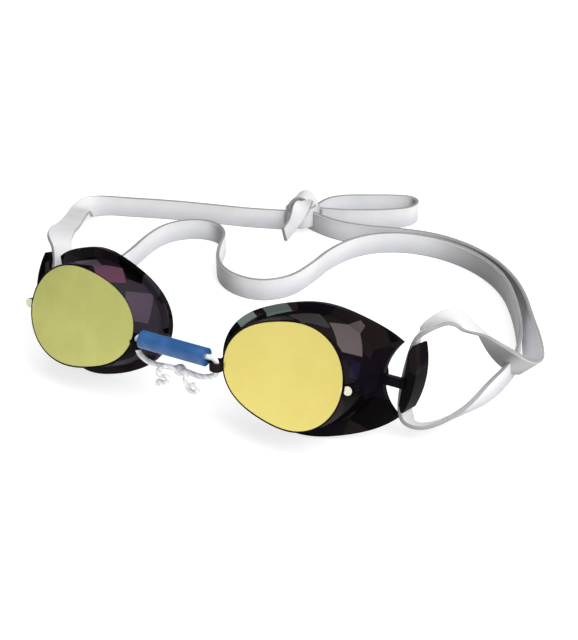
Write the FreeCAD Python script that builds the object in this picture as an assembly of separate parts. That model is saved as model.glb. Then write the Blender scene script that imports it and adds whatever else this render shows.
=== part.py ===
"""Swedish-style racing swim goggles, lying on a table with the strap behind them.

Millimetres. +X runs from the left eyecup to the right one, +Y from the lens fronts to the
back of the head, +Z up from the table. Each eyecup is built in its own frame first: x towards
the temple, y backwards from the lens front, z up along the lens.
"""
import FreeCAD
import Part
import math
import os
from FreeCAD import Vector

# Where the eyecups stand
LENS_SPACING = 63.5
LENS_CENTRE = Vector(LENS_SPACING / 2, -12.475, 21.83)
CUP_TILT = 20.0

# Lens and mirror film
LENS_RADIUS = 15.35
LENS_STRETCH = 1.55
LENS_TAPER = 0.6
LENS_BORDER = 0.5
LENS_THICKNESS = 1.8
FILM = 0.15
STUB_CENTRE_X = 17.7
STUB_CENTRE_Z = 0.2
STUB_RADIUS = 1.3
STUB_FACE_Y = 0.4
STUB_LENGTH = 4.6
SPOT_MARGIN = 0.1
SPOT_CUT_DEPTH = 3.0

# Side wall, as it would be at WALL_RUN behind the lens front
WALL = 1.5
WALL_RUN = 30.0
WALL_REAR_CENTRE = -2.5
WALL_REAR_HALF_WIDTH = 23.7
WALL_REAR_HALF_HEIGHT = 16.8

# Rim: an oval flange that follows an arc from the nose round to the temple
RIM_RADIUS = 21.2
RIM_STRETCH = 4.0
RIM_SQUARENESS = 0.8
RIM_CENTRE_X = 3.0
RIM_NOSE = (-23.3, 10.6)
RIM_MIDDLE = (3.0, 12.9)
RIM_TEMPLE = (28.7, 24.5)
FLANGE = 2.4
LIP = 1.3
NOTCH_RADIUS = 14.5
NOTCH_LENGTH = 35.0
NOTCH_CENTRE = (34.6, 2.3)

# Temple stem and strap bar
STEM_X = (18.6, 26.5)
STEM_Y = (17.2, 19.5)
STEM_Z = (-0.2, 2.3)
BAR_Y = (18.0, 27.6)
BAR_INNER_X = 25.8
BAR_OUTER_X = 29.0
BAR_TIP_X = 27.0
BAR_TOP = 12.4
BAR_BOTTOM = -7.5
BAR_SHOULDER = 2.8
BAR_ROUND = 0.5

# Nose eyelets, string and tube
EYELET = Vector(12.45, -13.5, 19.6)
EYELET_RADIUS = 2.0
EYELET_HOLE = 1.1
EYELET_HEIGHT = 2.2
NECK_REACH = 3.2
NECK_STEP = 0.15
NECK_Y = (-0.1, 2.9)
STRING = 1.5
STRING_LOOP = [
    (0.6, -14.4, 15.7), (-3.6, -14.4, 15.3), (-7.8, -14.4, 15.0), (-10.6, -13.9, 15.6), (-12.45, -13.5, 16.9),
    (-12.45, -13.5, 22.0), (-9.0, -14.4, 21.9), (0, -14.4, 21.8), (9.0, -14.4, 21.9), (12.45, -13.5, 22.0),
    (12.45, -13.5, 16.9), (10.8, -13.9, 15.8), (8.2, -14.4, 15.2), (5.4, -14.4, 15.4), (2.6, -14.4, 15.7),
]
STRING_TAILS = {
    "left": [(1, -15.1, 14.9), (-1, -16.6, 12.9), (-3.4, -17.1, 12.3), (-4.6, -17, 10.3), (-3, -16.8, 8.9)],
    "right": [(2.2, -15.1, 14.9), (4.4, -16.6, 13.4), (6.8, -17.1, 13), (8.2, -17, 11.1), (7, -16.8, 9.4)],
}
STRING_KNOT_CENTRE = Vector(1.6, -14.4, 15.5)
STRING_KNOT_RADIUS = 1.7
TUBE_AXIS = Vector(0, -14.4, 21.93)
TUBE_LENGTH = 20.2
TUBE_RADIUS = 2.5
TUBE_BORE = 1.15

# Strap
STRAP_WIDTH = 7.5
STRAP_THICKNESS = 1.2
LOOP_X = 25.05
LOOP_TOP = 12.4
LOOP_BOTTOM = -7.7
LOOP_Y = (19.9, 27.4)
LOOP_UP_END = (28.6, 15.8)
LOOP_DOWN_END = (29.6, -11.0)
BODY_GAP = 0.3
TABLE_GAP = 0.05

# Runs of the strap that stand on edge on the table, in plan
FRONT_RUN = [
    (-60.0, 41.5), (-60.0, 52.5), (-61.6, 65.5), (-60.6, 76.0), (-54.0, 83.3), (-45.5, 84.8), (-38.6, 79.5),
    (-35.4, 69.5), (-30.6, 59.5), (-22.0, 53.3), (-11.0, 52.9), (-3.6, 60.0), (-1.6, 71.5), (-1.0, 84.5),
    (3.4, 97.2), (13.0, 105.8), (26.0, 108.6), (39.0, 106.0), (50.0, 99.8), (58.4, 91.2), (64.6, 80.5),
    (69.6, 69.5), (73.6, 58.8), (75.2, 49.0),
]
BACK_RUN = [
    (81.2, 53.0), (77.9, 62.0), (72.6, 73.0), (66.6, 84.2), (59.5, 94.2), (50.4, 102.9), (39.6, 108.8),
    (26.8, 111.5), (13.6, 109.4), (2.4, 105.9), (-7.6, 104.9), (-18.2, 107.6),
]
LEFT_BACK_RUN = [
    (-92.6, 73.0), (-89.6, 80.6), (-83.0, 86.9), (-74.4, 91.4), (-63.4, 94.6), (-50.4, 97.8), (-38.4, 100.6),
    (-28.2, 104.4),
]
LOWER_RUNS = {
    "right": [(62.5, 6.2), (66.8, 11.2), (70.6, 20.4), (73.4, 30.4), (75.1, 40.4), (75.2, 48.6)],
    "left": [(-62.5, 6.2), (-65.6, 12.4), (-65.4, 21.4), (-62.2, 31.2), (-60, 41.2)],
}
TAIL_LOOP = [
    (-20.4, 114.8), (-20.2, 120.6), (-15.6, 126.2), (-8.0, 130.2), (0.8, 134.6), (7.2, 137.0), (11.4, 134.0),
    (11.0, 127.4), (4.6, 122.2), (-3.6, 117.6), (-10.6, 114.0), (-18.2, 112.2),
]

# Runs that come down from the loops round the strap bars and twist onto their edges, after
# their first station. The left one is given mirrored.
UPPER_RUNS = {
    "right": [(64, 20.6, 29.6), (68.6, 29.4, 25.2), (74.2, 38.6, 16.4), (79.8, 46.6, 8), (81.9, 51.2, 4.2)],
    "left": [(64.4, 21.6, 29.2), (70, 32, 23.6), (78, 46, 15), (86.4, 60.6, 7.6), (92.3, 71.6, 4)],
}

# The cut end of the strap and the knot that ties it
TAIL_END = [(-23.6, 103.9, 10.6), (-24.4, 99.4, 6.4), (-25.2, 94.6, 2.2), (-25.6, 90.6, 1.0)]
TAIL_OUT = Vector(0, -0.6, 0.8)
STRAP_KNOT = ((-28.6, 103.0, TABLE_GAP), (-17.8, 115.0, 13.4))
STRAP_KNOT_ROUNDING = 3.0

TILT = FreeCAD.Rotation(Vector(1, 0, 0), -CUP_TILT)
OUTLINE_POINTS = 24
ARC_SHARE = 0.45
MESH_STEP = 0.05


def lens_outline(angle, grow):
    """Distance from the lens centre to its edge, fuller towards the temple and the nose."""
    lobes = LENS_STRETCH * math.cos(2 * angle) - LENS_TAPER * math.cos(3 * angle)
    radius = LENS_RADIUS + lobes + grow
    return radius * math.cos(angle), radius * math.sin(angle)


def wall_outline(angle, grow):
    """The side wall's oval at WALL_RUN behind the lens."""
    return (WALL_REAR_CENTRE + (WALL_REAR_HALF_WIDTH + grow) * math.cos(angle),
            (WALL_REAR_HALF_HEIGHT + grow) * math.sin(angle))


def rim_outline(angle, grow):
    """The flange's outer edge, an oval with slightly squared corners."""
    lobes = RIM_STRETCH * math.cos(2 * angle) + RIM_SQUARENESS * math.cos(4 * angle)
    radius = RIM_RADIUS + lobes + grow
    return RIM_CENTRE_X + radius * math.cos(angle), radius * math.sin(angle)


def closed_curve(outline, grow, depth):
    """A smooth closed wire through one of the outlines, in the plane y = depth."""
    points = []
    for i in range(OUTLINE_POINTS):
        x, z = outline(2 * math.pi * i / OUTLINE_POINTS, grow)
        points.append(Vector(x, depth, z))
    curve = Part.BSplineCurve()
    curve.interpolate(Points=points, PeriodicFlag=True)
    return Part.Wire([curve.toShape()])


def plate(outline, grow, front, thickness):
    face = Part.Face(closed_curve(outline, grow, front))
    return face.extrude(Vector(0, thickness, 0))


def wall_cone(grow, front):
    """The space inside the side wall's surface, from y = front to WALL_RUN."""
    wires = [closed_curve(lens_outline, grow, front), closed_curve(wall_outline, grow, WALL_RUN)]
    return Part.makeLoft(wires, True, True)


def in_front_of_rim(offset):
    """Everything in front of the arc that the rim follows, moved back by offset."""
    reach, height, forward = 14.0, 40.0, -12.0
    arc = Part.Arc(*[Vector(x, y + offset, -height) for x, y in (RIM_NOSE, RIM_MIDDLE, RIM_TEMPLE)])
    circle = arc.toShape().Curve
    ends = []
    for x in (RIM_NOSE[0] - reach, RIM_TEMPLE[0] + reach / 2):
        drop = math.sqrt(circle.Radius ** 2 - (x - circle.Center.x) ** 2)
        ends.append(Vector(x, circle.Center.y + drop * math.copysign(1, RIM_MIDDLE[1] - circle.Center.y),
                           -height))
    middle = Vector(RIM_MIDDLE[0], RIM_MIDDLE[1] + offset, -height)
    corners = [Vector(ends[1].x, forward, -height), Vector(ends[0].x, forward, -height)]
    edges = [Part.Arc(ends[0], middle, ends[1]).toShape(), Part.makeLine(ends[1], corners[0]),
             Part.makeLine(corners[0], corners[1]), Part.makeLine(corners[1], ends[0])]
    return Part.Face(Part.Wire(edges)).extrude(Vector(0, 0, 2 * height))


def box(x, y, z):
    return Part.makeBox(x[1] - x[0], y[1] - y[0], z[1] - z[0], Vector(x[0], y[0], z[0]))


def strap_bar():
    """The D-shaped bar that the strap goes round, with pointed ends."""
    y = BAR_Y[0]
    middle = (BAR_TOP + BAR_BOTTOM) / 2
    tips = [Vector(BAR_TIP_X, y, BAR_BOTTOM), Vector(BAR_TIP_X, y, BAR_TOP)]
    inner = [Vector(BAR_INNER_X, y, z) for z in (BAR_TOP - BAR_SHOULDER, BAR_BOTTOM + BAR_SHOULDER)]
    edges = [Part.Arc(tips[0], Vector(BAR_OUTER_X, y, middle), tips[1]).toShape(),
             Part.makeLine(tips[1], inner[0]), Part.makeLine(inner[0], inner[1]),
             Part.makeLine(inner[1], tips[0])]
    bar = Part.Face(Part.Wire(edges)).extrude(Vector(0, BAR_Y[1] - y, 0))
    long_edges = [e for e in bar.Edges if e.BoundBox.YLength > (BAR_Y[1] - y) / 2]
    return bar.makeFillet(BAR_ROUND, long_edges)


def stub():
    centre = Vector(STUB_CENTRE_X, STUB_FACE_Y, STUB_CENTRE_Z)
    return Part.makeCylinder(STUB_RADIUS, STUB_LENGTH, centre, Vector(0, 1, 0))


def flange():
    ring = plate(rim_outline, 0, 0, WALL_RUN)
    ring = ring.common(in_front_of_rim(FLANGE / 2)).cut(in_front_of_rim(-FLANGE / 2))
    place = Vector(NOTCH_CENTRE[0], 0, NOTCH_CENTRE[1])
    notch = Part.makeCylinder(NOTCH_RADIUS, NOTCH_LENGTH, place, Vector(0, 1, 0))
    return ring.cut(notch)


def stand(shape):
    """Tilt a shape from the cup's frame back onto the table."""
    shape = shape.copy()
    shape.rotate(Vector(0, 0, 0), Vector(1, 0, 0), -CUP_TILT)
    shape.translate(LENS_CENTRE)
    return shape


def eyelet():
    """The upright ring beside the nose that the string passes through, and its neck."""
    low = EYELET - Vector(0, 0, EYELET_HEIGHT / 2)
    ring = Part.makeCylinder(EYELET_RADIUS, EYELET_HEIGHT, low)
    neck = box((EYELET.x, EYELET.x + NECK_REACH), (EYELET.y + NECK_Y[0], EYELET.y + NECK_Y[1]),
               (low.z + NECK_STEP, low.z + EYELET_HEIGHT - NECK_STEP))
    return ring.fuse(neck), Part.makeCylinder(EYELET_HOLE, EYELET_HEIGHT, low)


def right_eyecup():
    shell = wall_cone(LENS_BORDER, 0).common(in_front_of_rim(FLANGE / 2 + LIP))
    shell = shell.fuse([flange(), stub(), box(STEM_X, STEM_Y, STEM_Z), strap_bar()])
    cavity = wall_cone(LENS_BORDER - WALL, LENS_THICKNESS)
    tilted = stand(shell.cut(cavity))
    ring, hole = eyelet()
    ring = ring.cut(stand(plate(lens_outline, LENS_BORDER, -NECK_REACH, NECK_REACH)))
    ring = ring.cut(stand(wall_cone(LENS_BORDER - WALL / 2, LENS_THICKNESS / 2)))
    return tilted.fuse(ring).cut(hole).removeSplitter()


def right_mirror_film():
    """Film on the lens front and a separate spot of it on the moulding stub's face."""
    lens = stand(plate(lens_outline, 0, -FILM, FILM))
    place = Vector(STUB_CENTRE_X, STUB_FACE_Y - FILM, STUB_CENTRE_Z)
    spot = stand(Part.makeCylinder(STUB_RADIUS - SPOT_MARGIN, FILM, place, Vector(0, 1, 0)))
    spot = spot.cut(stand(plate(lens_outline, LENS_BORDER + SPOT_MARGIN, -FILM, SPOT_CUT_DEPTH)))
    return Part.makeCompound([lens] + spot.Solids)


def mirrored(shape):
    return shape.mirror(Vector(0, 0, 0), Vector(1, 0, 0))


def rounded_route(points, name):
    """Straight runs joined by tangent arcs: a list of ('line', a, b) and ('arc', a, mid, b)."""
    pieces = []
    radii = []
    start = points[0]
    for before, corner, after in zip(points, points[1:], points[2:]):
        back = (before - corner).normalize()
        ahead = (after - corner).normalize()
        half_turn = (math.pi - back.getAngle(ahead)) / 2
        cut = ARC_SHARE * min(before.distanceToPoint(corner), after.distanceToPoint(corner))
        radius = cut / math.tan(half_turn)
        inward = (back + ahead).normalize()
        entry = corner + back * cut
        leave = corner + ahead * cut
        middle = corner + inward * (radius / math.cos(half_turn) - radius)
        pieces.append(("line", start, entry))
        pieces.append(("arc", entry, middle, leave))
        radii.append(radius)
        start = leave
    pieces.append(("line", start, points[-1]))
    print(name, "bend radii, mm:", " ".join("%.1f" % r for r in radii))
    return pieces


def route_wire(pieces):
    edges = []
    for kind, *ends in pieces:
        edges.append(Part.makeLine(*ends) if kind == "line" else Part.Arc(*ends).toShape())
    return Part.Wire(edges)


def tube_along(points, name):
    """A round cord of the string's diameter along a route."""
    points = [Vector(*p) for p in points]
    path = route_wire(rounded_route(points, name))
    ring = Part.Wire([Part.makeCircle(STRING / 2, points[0], points[1] - points[0])])
    tube = path.makePipeShell([ring], True, False)
    ratio = tube.Volume / (math.pi * STRING ** 2 / 4 * path.Length)
    print("%s: %.1f mm long, volume over section times length %.3f" % (name, path.Length, ratio))
    return tube


def standing_band(plan, name):
    """A band standing on its edge on the table along a route given in plan."""
    points = [Vector(x, y, TABLE_GAP) for x, y in plan]
    left, right = [], []
    pieces = rounded_route(points, name)
    for kind, *ends in pieces:
        for side, edges in ((1, left), (-1, right)):
            if kind == "line":
                across = (ends[1] - ends[0]).cross(Vector(0, 0, 1)).normalize() * (side * STRAP_THICKNESS / 2)
                moved = [p + across for p in ends]
                edges.append(Part.makeLine(*moved))
            else:
                centre = Part.Arc(*ends).toShape().Curve.Center
                turn = (ends[1] - ends[0]).cross(ends[2] - ends[1]).z
                grow = side * math.copysign(STRAP_THICKNESS / 2, turn)
                moved = [p + (p - centre).normalize() * grow for p in ends]
                edges.append(Part.Arc(*moved).toShape())
    first, last = left[0].Vertexes[0].Point, left[-1].Vertexes[-1].Point
    far_first, far_last = right[0].Vertexes[0].Point, right[-1].Vertexes[-1].Point
    outline = left + [Part.makeLine(last, far_last)] + right + [Part.makeLine(far_first, first)]
    face = Part.Face(Part.Wire(Part.__sortEdges__(outline)))
    band = face.extrude(Vector(0, 0, STRAP_WIDTH))
    length = route_wire(pieces).Length
    ratio = band.Volume / (STRAP_WIDTH * STRAP_THICKNESS * length)
    print("%s: %.1f mm long, volume over section times length %.3f" % (name, length, ratio))
    return band


def triangles(a, b, c, d):
    """The two flat halves of a four-sided patch that may be warped."""
    return [Part.Face(Part.makePolygon([a, b, c, a])), Part.Face(Part.makePolygon([a, c, d, a]))]


def solid_through(sections):
    """A closed solid with flat facets through four-cornered sections, split alike on both faces."""
    faces = triangles(*sections[0]) + triangles(*sections[-1][::-1])
    for near, far in zip(sections, sections[1:]):
        for i in range(4):
            j = (i + 1) % 4
            patch = [near[j], near[i], far[i], far[j]]
            faces += triangles(*patch) if i < 2 else triangles(*patch[1:], patch[0])
    shell = Part.Shell(faces)
    shell.sewShape()
    return Part.Solid(shell)


def twisted_band(centres, first_out, last_out, name, first_along=None):
    """A band whose face turns from one direction to another along a few stations."""
    centres = [Vector(*c) for c in centres]
    sections = []
    count = len(centres)
    for i, centre in enumerate(centres):
        along = (centres[min(i + 1, count - 1)] - centres[max(i - 1, 0)]).normalize()
        if i == 0 and first_along:
            along = first_along
        share = i / (count - 1)
        out = first_out * (1 - share) + last_out * share
        out = (out - along * out.dot(along)).normalize()
        across = out.cross(along) * (STRAP_WIDTH / 2)
        out = out * (STRAP_THICKNESS / 2)
        rise = abs(across.z) + abs(out.z) + TABLE_GAP
        centre = Vector(centre.x, centre.y, max(centre.z, rise))
        sections.append([centre + across + out, centre + across - out,
                         centre - across - out, centre - across + out])
    band = solid_through(sections)
    length = sum(a.distanceToPoint(b) for a, b in zip(centres, centres[1:]))
    ratio = band.Volume / (STRAP_WIDTH * STRAP_THICKNESS * length)
    print("%s: %.1f mm long, volume over section times length %.3f" % (name, length, ratio))
    return band


def strap_bar_loop():
    """The strap where it goes round the right strap bar, in the cup's frame and then stood up."""
    route = [LOOP_UP_END, (LOOP_X, LOOP_TOP), (LOOP_X, LOOP_BOTTOM), LOOP_DOWN_END]
    corners = [Vector(x, y, 0) for x, y in route]
    flat = standing_band([(c.x, c.y) for c in corners], "strap loop")
    flat.translate(Vector(0, 0, -TABLE_GAP))
    flat.rotate(Vector(0, 0, 0), Vector(1, 0, 0), 90)
    flat.translate(Vector(0, LOOP_Y[1], 0))
    return stand(flat)


def knot_block(low, high, rounding):
    block = box(*zip(low, high))
    return block.makeFillet(rounding, block.Edges)


def upper_start():
    """Where a run starts beside the right loop's upper end, and the loop's direction there."""
    x, z = LOOP_UP_END
    direction = Vector(x - LOOP_X, 0, z - LOOP_TOP).normalize()
    place = Vector(x, sum(LOOP_Y) / 2, z) + direction * BODY_GAP
    return TILT.multVec(place) + LENS_CENTRE, TILT.multVec(direction)


def tight_bounds(shapes):
    """Lowest and highest corner of the shapes' meshes, closer than their bounding boxes."""
    points = [p for shape in shapes for p in shape.tessellate(MESH_STEP)[0]]
    return [(min(p[i] for p in points), max(p[i] for p in points)) for i in range(3)]


nodes = {}
nodes["right_eyecup"] = right_eyecup()
nodes["left_eyecup"] = mirrored(nodes["right_eyecup"])
nodes["right_mirror_coating"] = right_mirror_film()
nodes["left_mirror_coating"] = mirrored(nodes["right_mirror_coating"])
tube_start = TUBE_AXIS - Vector(TUBE_LENGTH / 2, 0, 0)
tube_shell = Part.makeCylinder(TUBE_RADIUS, TUBE_LENGTH, tube_start, Vector(1, 0, 0))
nodes["nose_tube"] = tube_shell.cut(Part.makeCylinder(TUBE_BORE, TUBE_LENGTH, tube_start, Vector(1, 0, 0)))
nodes["nose_string"] = tube_along(STRING_LOOP, "nose string")
nodes["nose_string_knot"] = Part.makeSphere(STRING_KNOT_RADIUS, STRING_KNOT_CENTRE)
for side, route in STRING_TAILS.items():
    name = "nose_string_%s_tail" % side
    nodes[name] = tube_along(route, name)
nodes["strap_right_bar_loop"] = strap_bar_loop()
nodes["strap_left_bar_loop"] = mirrored(nodes["strap_right_bar_loop"])
nodes["strap_front_run"] = standing_band(FRONT_RUN, "strap front run")
nodes["strap_back_run"] = standing_band(BACK_RUN, "strap back run")
nodes["strap_left_back_run"] = standing_band(LEFT_BACK_RUN, "strap left back run")
nodes["strap_tail_loop"] = standing_band(TAIL_LOOP, "strap tail loop")
start, along = upper_start()
facing = along.cross(TILT.multVec(Vector(0, 1, 0)))
for side, rest in UPPER_RUNS.items():
    node = "strap_%s_upper_run" % side
    band = twisted_band([start] + rest, facing, Vector(-1, 0, 0), node, along)
    nodes[node] = mirrored(band) if side == "left" else band
for side, route in LOWER_RUNS.items():
    node = "strap_%s_lower_run" % side
    nodes[node] = standing_band(route, node)
nodes["strap_tail_end"] = twisted_band(TAIL_END, TAIL_OUT, TAIL_OUT, "strap tail end")
nodes["strap_knot"] = knot_block(*STRAP_KNOT, STRAP_KNOT_ROUNDING)

os.makedirs("parts", exist_ok=True)
for name, shape in nodes.items():
    if not shape.isValid():
        print("not valid:", name)
    shape.exportStep("parts/%s.step" % name)

for name, shape in nodes.items():
    bounds = " ".join("%.2f..%.2f" % pair for pair in tight_bounds([shape]))
    print("%-24s solids %d  volume %7.1f  %s" % (name, len(shape.Solids), shape.Volume, bounds))
cups = [shape for name, shape in nodes.items() if name.endswith(("eyecup", "coating", "tube"))]
print("cups and tube:", " ".join("%.2f..%.2f" % pair for pair in tight_bounds(cups)))
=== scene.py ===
"""Looks for the racing swim goggles: smoke eyecups, gold mirror film, latex strap, nose string."""
import bmesh
import bpy
import math
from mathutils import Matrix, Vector


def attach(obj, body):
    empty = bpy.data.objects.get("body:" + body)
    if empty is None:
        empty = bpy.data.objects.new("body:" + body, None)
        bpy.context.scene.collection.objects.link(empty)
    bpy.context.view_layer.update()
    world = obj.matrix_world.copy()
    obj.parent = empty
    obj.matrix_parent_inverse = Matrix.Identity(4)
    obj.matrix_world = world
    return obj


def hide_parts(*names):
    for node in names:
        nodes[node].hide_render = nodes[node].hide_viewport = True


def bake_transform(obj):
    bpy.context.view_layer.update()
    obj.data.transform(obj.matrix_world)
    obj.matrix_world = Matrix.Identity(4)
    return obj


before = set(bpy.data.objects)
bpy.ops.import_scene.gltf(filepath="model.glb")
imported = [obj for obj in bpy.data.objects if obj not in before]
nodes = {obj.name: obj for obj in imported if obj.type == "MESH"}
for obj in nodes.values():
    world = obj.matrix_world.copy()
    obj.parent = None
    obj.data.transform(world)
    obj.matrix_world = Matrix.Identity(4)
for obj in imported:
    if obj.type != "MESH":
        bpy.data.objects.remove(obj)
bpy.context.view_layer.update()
MM = 0.001

# ---------------------------------------------------------------- camera, light and floor
TARGET = Vector((0.03323, -0.01247, 0.03828))
AZIMUTH = math.radians(27.2)
ELEVATION = math.radians(30.0)
DISTANCE = 0.2894
CAMERA_LENS = 65.72
FLOOR_HALF = 3.0


def camera_setup():
    """The camera looks down at TARGET from the right of the goggles' front."""
    data = bpy.data.cameras.new("camera")
    data.lens = CAMERA_LENS
    data.sensor_width = 36
    data.clip_start = 0.01
    camera = bpy.data.objects.new("camera", data)
    flat = math.cos(ELEVATION)
    towards = Vector((math.sin(AZIMUTH) * flat, -math.cos(AZIMUTH) * flat, math.sin(ELEVATION)))
    camera.location = TARGET + towards * DISTANCE
    camera.rotation_euler = towards.to_track_quat("Z", "Y").to_euler()
    bpy.context.collection.objects.link(camera)
    bpy.context.scene.camera = camera


def area_light(name, place, aim, size, power):
    """A square white light at place, turned to aim."""
    data = bpy.data.lights.new(name, "AREA")
    data.shape = "SQUARE"
    data.size = size
    data.energy = power
    light = bpy.data.objects.new(name, data)
    light.location = place
    light.rotation_euler = (Vector(place) - Vector(aim)).to_track_quat("Z", "Y").to_euler()
    bpy.context.collection.objects.link(light)


def stage_setup():
    """A plain white floor, a pale world and soft lights from above."""
    world = bpy.data.worlds.new("world")
    world.use_nodes = True
    tree = world.node_tree
    bright_side = tree.nodes.new("ShaderNodeVectorMath")
    bright_side.operation = "DOT_PRODUCT"
    bright_side.inputs[1].default_value = (0.8, -0.2, 0.55)
    tree.links.new(tree.nodes.new("ShaderNodeTexCoord").outputs["Generated"], bright_side.inputs[0])
    strength = node(tree, "MapRange")
    for name, value in (("From Min", -0.5), ("From Max", 0.9), ("To Min", 0.02), ("To Max", 0.5)):
        strength.inputs[name].default_value = value
    tree.links.new(bright_side.outputs["Value"], strength.inputs["Value"])
    tree.links.new(strength.outputs["Result"], tree.nodes["Background"].inputs["Strength"])
    tree.nodes["Background"].inputs["Color"].default_value = (1, 1, 1, 1)
    bpy.context.scene.world = world
    area_light("key", (0.75, -0.2, 0.75), (0, 0.05, 0), 0.7, 7)
    area_light("top", (0.15, 0.1, 0.95), (0, 0.05, 0), 0.8, 4.5)
    area_light("card", (-0.42, -1.0, 0.16), (0, 0, 0.02), 0.5, 0.6)
    mesh = bpy.data.meshes.new("floor")
    corners = [(x * FLOOR_HALF, y * FLOOR_HALF, 0) for x, y in ((-1, -1), (1, -1), (1, 1), (-1, 1))]
    mesh.from_pydata(corners, [], [(0, 1, 2, 3)])
    floor = bpy.data.objects.new("floor", mesh)
    bpy.context.collection.objects.link(floor)
    paper = plain_material("floor", (0.42, 0.42, 0.42), 0.9)
    set_inputs(paper.node_tree.nodes["Principled BSDF"], Emission_Color=(1, 1, 1, 1), Emission_Strength=0.76)
    mesh.materials.append(paper)
    bpy.context.scene.view_settings.view_transform = "Standard"


# ---------------------------------------------------------------- materials
# Middle of the right moulding stub's face, and how far its film reaches from there
STUB = (49.45, -12.0, 21.9)
STUB_REACH = 1.8
# Up to this height the strap's colour is greyer: painted shade, as if cast by the table
PAINTED_TABLE_SHADE_TOP = 6.5
# Painted shade: the strap's colour is greyer where its face looks this way, down and to the left
PAINTED_SHADE_FACING = (-0.45, -0.1, -0.9)


def new_material(name):
    """A new material with its node tree and Principled shader."""
    material = bpy.data.materials.new(name)
    material.use_nodes = True
    return material, material.node_tree, material.node_tree.nodes["Principled BSDF"]


def set_inputs(shader, **values):
    """Set a shader's sockets; an underscore stands for a space."""
    for name, value in values.items():
        shader.inputs[name.replace("_", " ")].default_value = value


def plain_material(name, colour, roughness):
    """A material of one colour, for the floor."""
    material, tree, shader = new_material(name)
    set_inputs(shader, Base_Color=(*colour, 1), Roughness=roughness)
    return material


def node(tree, kind, **inputs):
    """A shader node with its inputs set."""
    made = tree.nodes.new("ShaderNode" + kind)
    for name, value in inputs.items():
        made.inputs[name.replace("_", " ")].default_value = value
    return made


def ramp(tree, source, stops, smooth=True):
    """A colour ramp fed from a socket."""
    made = tree.nodes.new("ShaderNodeValToRGB")
    made.color_ramp.interpolation = "EASE" if smooth else "CONSTANT"
    elements = made.color_ramp.elements
    while len(elements) < len(stops):
        elements.new(0.5)
    for element, (place, colour) in zip(elements, stops):
        element.position = place
        element.color = (*colour, 1)
    tree.links.new(source, made.inputs["Fac"])
    return made.outputs["Color"]


def coordinates(tree):
    """Object coordinates, in metres from the frame's origin."""
    return tree.nodes.new("ShaderNodeTexCoord").outputs["Object"]


def bump(tree, shader, height, strength, distance):
    """Fine relief from a socket."""
    made = node(tree, "Bump", Strength=strength, Distance=distance)
    tree.links.new(height, made.inputs["Height"])
    tree.links.new(made.outputs["Normal"], shader.inputs["Normal"])


def noise(tree, place, scale, detail=3.0, roughness=0.5):
    """A noise texture over the places."""
    made = node(tree, "TexNoise", Scale=scale, Detail=detail, Roughness=roughness)
    tree.links.new(place, made.inputs["Vector"])
    return made


def multiplied(tree, first, second):
    """Two colours multiplied."""
    mix = tree.nodes.new("ShaderNodeMix")
    mix.data_type = "RGBA"
    mix.blend_type = "MULTIPLY"
    mix.inputs["Factor"].default_value = 1.0
    tree.links.new(first, mix.inputs["A"])
    tree.links.new(second, mix.inputs["B"])
    return mix.outputs["Result"]


def latex_material(name, light, dark):
    """Satin white latex: faint cloudiness, fine talc grain, and painted shade that greys it towards the table
    and on faces that look down and to the left.
    """
    material, tree, shader = new_material(name)
    place = coordinates(tree)
    cloud = noise(tree, place, 90, 4)
    tint = ramp(tree, cloud.outputs["Fac"], [(0.3, dark), (0.7, light)])
    split = tree.nodes.new("ShaderNodeSeparateXYZ")
    tree.links.new(place, split.inputs["Vector"])
    height = node(tree, "MapRange")
    height.inputs["From Max"].default_value = PAINTED_TABLE_SHADE_TOP * MM
    tree.links.new(split.outputs["Z"], height.inputs["Value"])
    # Painted shade: the colour greys towards the table.
    shade = ramp(tree, height.outputs["Result"], [(0.0, (0.66, 0.67, 0.7)), (1.0, (1.0, 1.0, 1.0))])
    # Painted shade: faces that look down and to the left are greyed.
    facing = tree.nodes.new("ShaderNodeNewGeometry").outputs["Normal"]
    turned = vector_math(tree, "DOT_PRODUCT", facing, PAINTED_SHADE_FACING)
    painted_underside_shade = ramp(tree, turned.outputs["Value"], [(0.05, (1.0, 1.0, 1.0)), (0.4, (0.28, 0.28, 0.27))])
    colour = multiplied(tree, multiplied(tree, tint, shade), painted_underside_shade)
    tree.links.new(colour, shader.inputs["Base Color"])
    grain = noise(tree, place, 2600, 2)
    bump(tree, shader, grain.outputs["Fac"], 0.12, 0.0001)
    set_inputs(shader, Roughness=0.42, Subsurface_Weight=0.12, Subsurface_Scale=0.002, IOR=1.5)
    return material


def smoke_material(name, tints, painted_reflections):
    """Dark clear plastic: faint cells of tint all over, and painted reflections: lighter tinted patches at
    known places, where the wall's facets catch the light.
    """
    material, tree, shader = new_material(name)
    place = coordinates(tree)
    cells = node(tree, "TexVoronoi", Scale=105.0, Randomness=0.8)
    tree.links.new(place, cells.inputs["Vector"])
    colour = ramp(tree, cells.outputs["Color"], tints, smooth=False)
    # Painted reflections: each patch is tinted lighter.
    for centre, reach, tint in painted_reflections:
        distance = three_sides(tree, place, Vector(centre) * MM)
        colour = tinted_near(tree, distance, colour, reach * MM, tint)
    tree.links.new(colour, shader.inputs["Base Color"])
    grain = noise(tree, place, 220, 2)
    rough = ramp(tree, grain.outputs["Fac"], [(0.3, (0.06, 0.06, 0.06)), (0.8, (0.16, 0.16, 0.16))])
    tree.links.new(rough, shader.inputs["Roughness"])
    set_inputs(shader, IOR=1.0, Coat_Weight=0.09, Coat_IOR=1.5, Coat_Roughness=0.1)
    return material


def vector_math(tree, operation, first, second=None):
    """A vector operation on a socket and a constant vector."""
    step = tree.nodes.new("ShaderNodeVectorMath")
    step.operation = operation
    tree.links.new(first, step.inputs[0])
    if second is not None:
        step.inputs[1].default_value = second
    return step


def straight_line(tree, places, centre):
    """Distance of the places from centre."""
    return vector_math(tree, "DISTANCE", places, centre).outputs["Value"]


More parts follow.
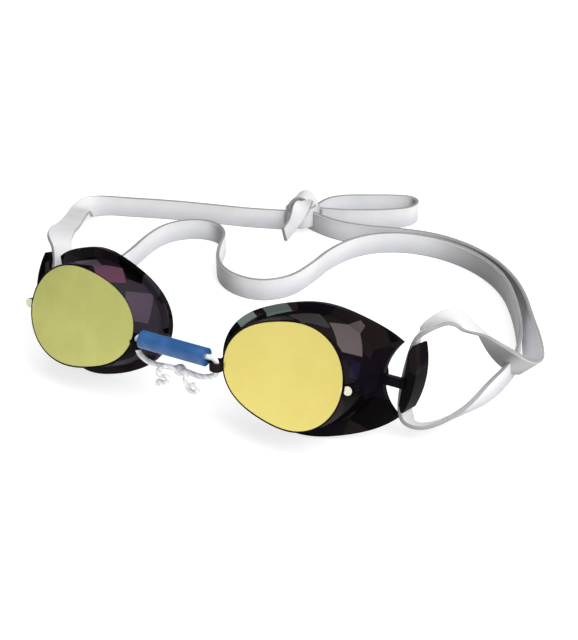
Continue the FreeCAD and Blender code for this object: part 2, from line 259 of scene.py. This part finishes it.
def three_sides(tree, places, centre):
    """Sum of the distances along X, Y and Z, which bounds a patch by straight edges."""
    offset = vector_math(tree, "SUBTRACT", places, centre).outputs["Vector"]
    size = vector_math(tree, "ABSOLUTE", offset).outputs["Vector"]
    return vector_math(tree, "DOT_PRODUCT", size, (1, 1, 1)).outputs["Value"]


def tinted_near(tree, distance, colour, reach, tint):
    """The colour, changed to tint where the distance is less than reach."""
    near = tree.nodes.new("ShaderNodeMath")
    near.operation = "LESS_THAN"
    near.inputs[1].default_value = reach
    tree.links.new(distance, near.inputs[0])
    mix = tree.nodes.new("ShaderNodeMix")
    mix.data_type = "RGBA"
    mix.inputs["B"].default_value = (*tint, 1)
    tree.links.new(near.outputs["Value"], mix.inputs["Factor"])
    tree.links.new(colour, mix.inputs["A"])
    return mix.outputs["Result"]


def mirror_material(name, colour, edge, stub):
    """Thin metal film: nearly even, a little cloudy, paler on the stub that stands at a known place."""
    material, tree, shader = new_material(name)
    place = coordinates(tree)
    cloud = noise(tree, place, 60, 5, 0.6)
    tint = ramp(tree, cloud.outputs["Fac"], [(0.35, edge), (0.65, colour)])
    distance = straight_line(tree, place, Vector(stub) * MM)
    tint = tinted_near(tree, distance, tint, STUB_REACH * MM, (0.95, 0.93, 0.7))
    tree.links.new(tint, shader.inputs["Base Color"])
    rough = ramp(tree, cloud.outputs["Fac"], [(0.3, (0.3, 0.3, 0.3)), (0.8, (0.38, 0.38, 0.38))])
    tree.links.new(rough, shader.inputs["Roughness"])
    set_inputs(shader, Metallic=0.85)
    return material


def tube_material():
    """Soft blue vinyl tube."""
    material, tree, shader = new_material("blue_tube")
    place = coordinates(tree)
    cloud = noise(tree, place, 300, 3)
    tint = ramp(tree, cloud.outputs["Fac"], [(0.3, (0.02, 0.095, 0.27)), (0.75, (0.04, 0.14, 0.37))])
    tree.links.new(tint, shader.inputs["Base Color"])
    bump(tree, shader, cloud.outputs["Fac"], 0.15, 0.0002)
    set_inputs(shader, Roughness=0.35, IOR=1.45)
    return material


def string_material():
    """White twisted string."""
    material, tree, shader = new_material("nose_string")
    place = coordinates(tree)
    lay = node(tree, "TexWave", Scale=260.0, Distortion=0.4)
    lay.bands_direction = "DIAGONAL"
    tree.links.new(place, lay.inputs["Vector"])
    tint = ramp(tree, lay.outputs["Fac"], [(0.1, (0.72, 0.72, 0.74)), (0.6, (0.88, 0.88, 0.88))])
    tree.links.new(tint, shader.inputs["Base Color"])
    bump(tree, shader, lay.outputs["Fac"], 0.3, 0.0001)
    set_inputs(shader, Roughness=0.7)
    return material


# ---------------------------------------------------------------- routes
STRAP_WIDTH = 7.5
STRAP_THICKNESS = 1.2
STRAP_Z = 3.8
STRING_DIAMETER = 1.5
CURL_DIAMETER = 1.3
EDGE_ROUNDING = 0.4


def standing(plan, side):
    """Route points of a run that stands on its edge, with the way its face looks: side is 1 or -1."""
    made = []
    for i, (x, y) in enumerate(plan):
        before = plan[max(i - 1, 0)]
        after = plan[min(i + 1, len(plan) - 1)]
        heading = Vector((after[0] - before[0], after[1] - before[1], 0)).normalized()
        made.append(((x, y, STRAP_Z), Vector((heading.y, -heading.x, 0)) * side))
    return made


def mirrored(points):
    """The route on the other side of X = 0."""
    return [((-p[0], p[1], p[2]), Vector((-n[0], n[1], n[2]))) for p, n in points]


FRONT_RUN = [
    (-60.0, 52.5), (-61.6, 65.5), (-60.6, 76.0), (-54.0, 83.3), (-45.5, 84.8), (-38.6, 79.5), (-35.4, 69.5),
    (-30.6, 59.5), (-22.0, 53.3), (-11.0, 52.9), (-3.6, 60.0), (-1.6, 71.5), (-1.0, 84.5), (3.4, 97.2),
    (13.0, 105.8), (26.0, 108.6), (39.0, 106.0), (50.0, 99.8), (58.4, 91.2), (64.6, 80.5), (69.6, 69.5),
    (73.6, 58.8), (75.2, 48.8),
]
BACK_RUN = [
    (66.6, 84.2), (59.5, 94.2), (50.4, 102.9), (39.6, 108.8),
    (26.8, 111.5), (13.6, 109.4), (2.4, 105.9), (-7.6, 104.9), (-16.4, 106.9),
    (-21.6, 109.2),
]
LEFT_BACK_RUN = [
    (-26.2, 105.2), (-38.4, 100.6), (-50.4, 97.8), (-63.4, 94.6), (-74.4, 91.4), (-84.0, 88.0),
]
# Runs that don't stand upright: points with the way the band's face looks there
RIGHT_LOWER_RUN = [
    ((75.2, 48.8, 3.8), (-1, 0.1, 0)), ((75.1, 40.4, 3.8), (-1, 0.1, 0)),
    ((73.3, 30.2, 3.8), (-1, 0.1, 0.05)),
    ((70.2, 20.0, 3.5), (-0.76, 0.3, 0.58)), ((66.5, 11.6, 3.1), (-0.45, 0.48, 0.75)),
]
LEFT_LOWER_RUN = [(-65.6, 12.4), (-65.4, 21.4), (-62.2, 31.2), (-60.0, 41.2)]
TAIL_LOOP = [
    (-20.4, 114.8), (-20.2, 120.6), (-15.6, 126.2), (-8.0, 130.2), (0.8, 134.6), (7.2, 137.0), (11.4, 134.0),
    (11.0, 127.4), (4.6, 122.2), (-3.6, 117.6), (-10.6, 114.0), (-18.2, 112.2),
]
# Round the right bar from below to above, with the way the band's face looks
BAR_LOOP = [
    ((61.35, 6.0, 3.2), (-0.12, 0.42, 0.9)), ((56.8, 7.1, 6.5), (0.95, 0, 0.3)),
    ((56.8, 14.0, 25.4), (0.95, 0, -0.3)),
]
RIGHT_UPPER_RUN = [
    ((59.4, 15.4, 28.2), (0.6, 0, -0.8)), ((61.0, 22.0, 27.8), (0.2, 0, -0.97)),
    ((63.6, 29.7, 25.0), (-0.66, 0.05, -0.74)),
    ((67.8, 35.3, 20.0), (-0.4, -0.42, -0.8)), ((71.2, 38.5, 14.0), (-0.12, -0.7, -0.42)),
    ((74.8, 41.8, 8.6), (0.3, -0.8, -0.35)), ((79.3, 45.0, 4.9), (0.5, -0.75, -0.4)),
]
RIGHT_FOLD = [
    ((80.2, 50.8, 3.6), (0.65, 0.1, -0.7)), ((76.8, 60.6, 3.2), (0.65, 0.4, -0.6)),
    ((71.6, 72.2, 3.6), (0.8, 0.5, -0.25)),
]
LEFT_UPPER_RUN = [
    ((92.5, 85.5, 3.8), (-0.5, -0.85, 0)), ((97.4, 81.0, 4.2), (-0.6, -0.7, 0.4)),
    ((96.6, 74.5, 5.4), (-0.3, -0.4, 0.85)), ((92.6, 67.5, 7.6), (0, 0, 1)),
    ((87.6, 59.0, 10.4), (0.1, 0.2, 0.95)),
    ((80.6, 48.5, 14.8), (0.1, 0.3, 0.95)), ((71.6, 35.0, 20.8), (0.05, 0.35, 0.95)),
    ((64.4, 24.0, 26.2), (-0.1, 0.25, 0.95)), ((60.0, 16.0, 27.4), (-0.4, 0.1, 0.9)),
]
STRING_LOOP = [
    (0.6, -14.4, 15.7), (-3.6, -14.4, 15.3), (-7.8, -14.4, 15.0), (-10.6, -13.9, 15.6), (-12.45, -13.5, 16.9),
    (-12.45, -13.5, 22.0), (-9.0, -14.4, 21.9), (0, -14.4, 21.8), (9.0, -14.4, 21.9), (12.45, -13.5, 22.0),
    (12.45, -13.5, 16.9), (10.8, -13.9, 15.8), (8.2, -14.4, 15.2), (5.4, -14.4, 15.4), (2.6, -14.4, 15.7),
]
STRING_TAILS = {
    "left": [
        (1.2, -14.8, 15.4), (-0.6, -16.2, 17.4), (-2.6, -16.8, 16.6), (-4.2, -17.0, 14.8),
        (-2.6, -17.2, 13.6), (-0.8, -17.2, 14.8), (-0.6, -17.2, 13.0), (-2.4, -17.2, 11.8),
        (-4.0, -17.0, 12.2), (-4.2, -16.8, 10.6),
    ],
    "right": [
        (2.2, -14.8, 15.4), (3.6, -16.2, 17.2), (5.2, -17.0, 16.2), (4.4, -17.2, 14.4), (5.8, -17.2, 13.2),
        (7.8, -17.2, 14.6), (8.8, -17.2, 13.2), (7.6, -17.2, 11.6), (5.6, -17.0, 11.8), (5.0, -16.8, 13.2),
    ],
}


def nurbs(name, points, scale=MM):
    """An open NURBS curve of order 3 with these control points."""
    data = bpy.data.curves.new(name, "CURVE")
    data.dimensions = "3D"
    data.resolution_u = 8
    spline = data.splines.new("NURBS")
    spline.points.add(len(points) - 1)
    for point, place in zip(spline.points, points):
        point.co = (*(Vector(place) * scale), 1)
    spline.order_u = 3
    spline.use_endpoint_u = True
    curve = bpy.data.objects.new(name, data)
    bpy.context.collection.objects.link(curve)
    return curve


def points_along(name, points, scale=MM):
    """Points of the NURBS line through a route, evenly set in its parameter."""
    curve = nurbs(name + "_line", points, scale)
    bpy.context.view_layer.update()
    mesh = bpy.data.meshes.new_from_object(curve.evaluated_get(bpy.context.evaluated_depsgraph_get()))
    line = [v.co.copy() for v in mesh.vertices]
    bpy.data.objects.remove(curve)
    bpy.data.meshes.remove(mesh)
    return line


def band_section(width, thickness, corner=3):
    """A flat band's cross-section as (across, out) pairs: crisp edges with a small radius."""
    made = []
    radius = thickness * 0.28
    u = width / 2 - radius
    v = thickness / 2 - radius
    support = radius * 0.6
    for cu, cv, start in ((u, -v, -90), (u, v, 0), (-u, v, 90), (-u, -v, 180)):
        arc = []
        for i in range(corner + 1):
            angle = math.radians(start + 90 * i / corner)
            arc.append((cu + radius * math.cos(angle), cv + radius * math.sin(angle)))
        inner = (cu - math.copysign(support, cu), arc[0][1] if start in (-90, 90) else arc[-1][1])
        made += [inner] + arc if start in (-90, 90) else arc + [inner]
    return made


def ribbon(name, route, material, width=STRAP_WIDTH):
    """A flat band swept along a route of (point, way its face looks), and the line it follows."""
    line = points_along(name, [p for p, n in route])
    faces = points_along(name, [n for p, n in route], 1.0)
    section = band_section(width * MM, STRAP_THICKNESS * MM)
    rings = []
    count = len(line)
    mesh = bmesh.new()
    for i, (place, face) in enumerate(zip(line, faces)):
        along = (line[min(i + 1, count - 1)] - line[max(i - 1, 0)]).normalized()
        out = (face - along * face.dot(along)).normalized()
        across = out.cross(along)
        ring = []
        for u, v in section:
            ring.append(mesh.verts.new(place + across * u + out * v))
        rings.append(ring)
    size = len(section)
    for near, far in zip(rings, rings[1:]):
        for i in range(size):
            j = (i + 1) % size
            mesh.faces.new((near[i], near[j], far[j], far[i]))
    mesh.faces.new(rings[0][::-1])
    mesh.faces.new(rings[-1])
    bmesh.ops.recalc_face_normals(mesh, faces=mesh.faces)
    data = bpy.data.meshes.new(name)
    mesh.to_mesh(data)
    mesh.free()
    for polygon in data.polygons:
        polygon.use_smooth = len(polygon.vertices) == 4
    mark_cut_edges(data, section, width * MM)
    data.materials.append(material)
    data.materials.append(cut_edge_painted_shade)
    piece = bpy.data.objects.new(name, data)
    bpy.context.collection.objects.link(piece)
    return piece, line


def mark_cut_edges(data, section, width):
    """Give the narrow sides of a band their own material: they were cut from a sheet, and their darker grey
    is partly the cut latex's tone and partly painted shade.
    """
    size = len(section)
    for polygon in data.polygons:
        reach = [abs(section[i % size][0]) for i in polygon.vertices]
        polygon.material_index = int(min(reach) > 0.46 * width)


# ---------------------------------------------------------------- the scene
camera_setup()
stage_setup()
latex = latex_material("strap_latex", (0.76, 0.76, 0.775), (0.70, 0.705, 0.725))
# The narrow sides: darker grey, partly the cut latex's tone and partly painted shade.
cut_edge_painted_shade = latex_material("strap_cut_edge_painted_shade", (0.35, 0.35, 0.35), (0.29, 0.29, 0.295))
string_white = string_material()

left_route = (
    standing(LEFT_BACK_RUN, -1)
    + mirrored(LEFT_UPPER_RUN)
    + mirrored([(p, (-n[0], n[1], -n[2])) for p, n in BAR_LOOP[::-1]])
    + standing(LEFT_LOWER_RUN + FRONT_RUN, 1)
)
strap_left, left_line = ribbon("strap_left", left_route, latex)
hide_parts("strap_left_back_run", "strap_left_upper_run", "strap_left_bar_loop",
            "strap_left_lower_run", "strap_front_run")
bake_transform(strap_left)

right_route = (
    [(p, Vector(n)) for p, n in RIGHT_LOWER_RUN + BAR_LOOP + RIGHT_UPPER_RUN + RIGHT_FOLD]
    + standing(BACK_RUN, 1)
)
strap_right, right_line = ribbon("strap_right", right_route, latex)
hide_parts("strap_right_lower_run", "strap_right_bar_loop", "strap_right_upper_run",
            "strap_back_run")
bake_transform(strap_right)

tail_loop, tail_line = ribbon("strap_tail_loop_band", standing(TAIL_LOOP, 1), latex)
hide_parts("strap_tail_loop")
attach(tail_loop, "bridge")

# Knot and cut end
tail_end, _ = ribbon("strap_tail_end_band", [
    ((-20.8, 107.0, 11.8), Vector((-0.4, -0.4, 0.8))), ((-21.6, 104.2, 10.6), Vector((0.3, -0.5, 0.7))),
    ((-22.2, 101.0, 7.6), Vector((0.9, -0.25, 0.25))), ((-22.7, 97.4, 4.8), Vector((1, -0.15, 0.05))),
    ((-23.2, 93.6, 3.6), Vector((1, -0.15, 0))),
], latex, width=6.0)
knot_loop, _ = ribbon("strap_knot_loop", [
    ((-27.0, 104.5, 1.5), Vector((-1, 0, 0.2))), ((-27.6, 106.0, 7.0), Vector((-1, 0, 0))),
    ((-25.6, 108.0, 12.4), Vector((-0.6, 0, 0.8))), ((-21.6, 109.6, 12.8), Vector((0.6, 0, 0.8))),
    ((-19.6, 110.6, 7.0), Vector((1, 0, 0))), ((-20.4, 111.5, 1.5), Vector((1, 0, -0.2))),
], latex, width=6.5)
knot_wrap, _ = ribbon("strap_knot_wrap", [
    ((-28.0, 106.5, 4.5), Vector((0, -1, 0.2))), ((-25.0, 104.0, 5.0), Vector((-0.3, -1, 0.2))),
    ((-21.0, 104.4, 5.6), Vector((0.5, -0.8, 0.2))), ((-18.6, 108.0, 5.6), Vector((1, 0, 0))),
    ((-20.6, 113.0, 5.0), Vector((0.6, 0.8, 0))), ((-25.6, 113.6, 4.8), Vector((-0.4, 0.9, 0))),
    ((-28.8, 110.4, 4.8), Vector((-0.9, 0.4, 0))), ((-28.6, 106.4, 4.8), Vector((-1, -0.1, 0))),
], latex, width=7.0)
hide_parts("strap_knot")
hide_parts("strap_tail_end")
for piece in (tail_end, knot_loop, knot_wrap):
    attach(piece, "bridge")

# Nose string
nose_string = nurbs("nose_string_cord", STRING_LOOP)
nose_string.data.bevel_depth = STRING_DIAMETER / 2 * MM
nose_string.data.bevel_resolution = 4
nose_string.data.use_fill_caps = True
nose_string.data.materials.append(string_white)
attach(nose_string, "bridge")
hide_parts("nose_string")

for side, route in STRING_TAILS.items():
    curl = nurbs("nose_string_%s_curl" % side, route)
    curl.data.bevel_depth = CURL_DIAMETER / 2 * MM
    curl.data.bevel_resolution = 4
    curl.data.use_fill_caps = True
    curl.data.materials.append(string_white)
    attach(curl, "bridge")
    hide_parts("nose_string_%s_tail" % side)

string_line = points_along("string", STRING_LOOP)

# CAD nodes that keep their shape
# Cells of random tint on both cups; the right copy is darker and the left lighter and more purple: painted
# shade and light on one smoke plastic.
dark = (0.0025, 0.002, 0.0025)
right_tints_painted_shade = [
    (0.0, dark), (0.45, (0.013, 0.009, 0.009)), (0.62, (0.006, 0.004, 0.007)), (0.8, (0.024, 0.016, 0.018)),
]
left_tints_painted_light = [
    (0.0, dark), (0.4, (0.03, 0.024, 0.032)), (0.6, (0.012, 0.008, 0.012)), (0.8, (0.045, 0.03, 0.045)),
]
# Painted reflections on the wall's facets: centre, reach and tint
# Right cup: lighter brown, grey and purple patches on the wall's top, and two pale green streaks along the
# flange: painted reflections.
right_painted_reflections = [
    ((44.3, -0.5, 29.9), 8.6, (0.10, 0.082, 0.080)), ((34.5, -3, 33.8), 6.5, (0.04, 0.038, 0.036)),
    ((48.6, -6, 24.4), 3.6, (0.012, 0.008, 0.022)), ((14.6, -0.6, 27.4), 4.6, (0.22, 0.27, 0.24)),
    ((22.8, 1, 31.9), 5.2, (0.12, 0.155, 0.14)),
]
# Left cup: magenta, blue-grey and purple-grey patches: painted reflections.
left_painted_reflections = [
    ((-26.2, -4.6, 33.4), 7.0, (0.11, 0.045, 0.075)), ((-34.6, -3.1, 34.2), 5.0, (0.055, 0.05, 0.07)),
    ((-15.5, -7.5, 27.2), 7.5, (0.075, 0.055, 0.08)),
]
# Both lenses carry one gold film: the right copy is brighter, the left darker and greener, painted light and
# shade.
right_gold_painted_light = ((0.93, 0.80, 0.24), (0.88, 0.74, 0.21))
left_gold_painted_shade = ((0.68, 0.68, 0.22), (0.60, 0.61, 0.19))
left_stub = (-STUB[0], STUB[1], STUB[2])
finishes = {
    "right_eyecup": smoke_material("smoke_right_painted_shade", right_tints_painted_shade, right_painted_reflections),
    "left_eyecup": smoke_material("smoke_left_painted_light", left_tints_painted_light, left_painted_reflections),
    "right_mirror_coating": mirror_material("gold_mirror_right_painted_light", *right_gold_painted_light, STUB),
    "left_mirror_coating": mirror_material("gold_mirror_left_painted_shade", *left_gold_painted_shade, left_stub),
    "nose_tube": tube_material(),
    "nose_string_knot": string_white,
}
for name in ("right_eyecup", "left_eyecup"):
    rounding = nodes[name].modifiers.new("moulded_edges", "BEVEL")
    rounding.width = EDGE_ROUNDING * MM
    rounding.segments = 3
    rounding.limit_method = "ANGLE"
    rounding.angle_limit = math.radians(40)
for name, material in finishes.items():
    for found in nodes[name].material_slots:
        found.material = material
